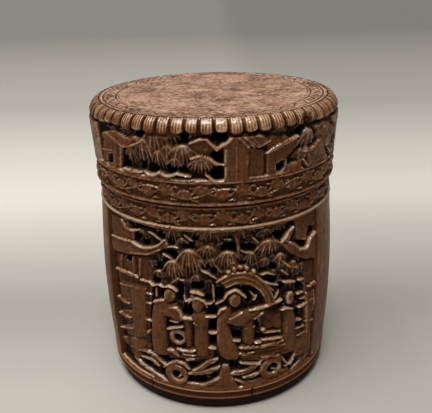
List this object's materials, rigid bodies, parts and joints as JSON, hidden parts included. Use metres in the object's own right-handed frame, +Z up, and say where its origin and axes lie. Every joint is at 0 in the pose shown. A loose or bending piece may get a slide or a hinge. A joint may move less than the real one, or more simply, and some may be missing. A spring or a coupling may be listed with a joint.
{
  "type": "carved bamboo covered pot",
  "caption": "Round covered pot of carved bamboo, with a lift-off lid, a pierced garden panel, leafy friezes, a ridged foot band and a dark plinth.",
  "frame": {"origin": "centre of the underside of the plinth", "axes": "+Z up along the axis of the pot, -Y towards the front of the carved panel"},
  "size_m": [0.1168, 0.1168, 0.1397],
  "materials": {
    "carved_bamboo": "carved and polished by handling, satin on the skin",
    "strip_bamboo": "satin, worn on the beads",
    "board_bamboo": "dull, worn, with incised lines",
    "dark_wood": "matt and near black",
    "plain_wood": "plain, unpolished",
    "peg_bamboo": "pale end grain"
  },
  "bodies": {
    "pot": {"base_plinth": "dark_wood", "floor_disc": "plain_wood", "body_wall": "carved_bamboo", "body_sleeve": "dark_wood", "foot_strip_1": "strip_bamboo", "foot_strip_2": "strip_bamboo", "foot_strip_3": "strip_bamboo", "foot_strip_4": "strip_bamboo", "foot_strip_5": "strip_bamboo", "foot_strip_6": "strip_bamboo", "foot_strip_7": "strip_bamboo", "plinth_peg_1": "peg_bamboo", "plinth_peg_2": "peg_bamboo", "plinth_peg_3": "peg_bamboo", "plinth_peg_4": "peg_bamboo"},
    "lid": {"lid_wall": "carved_bamboo", "lid_board": "board_bamboo", "lid_ring": "dark_wood", "board_peg_1": "peg_bamboo", "board_peg_2": "peg_bamboo", "board_peg_3": "peg_bamboo", "board_peg_4": "peg_bamboo"}
  },
  "joints": [
    {"name": "lid_lift", "type": "slide", "parent": "pot", "child": "lid", "axis": [0, 0, 1], "range_m": [0, 0.045]}
  ]
}
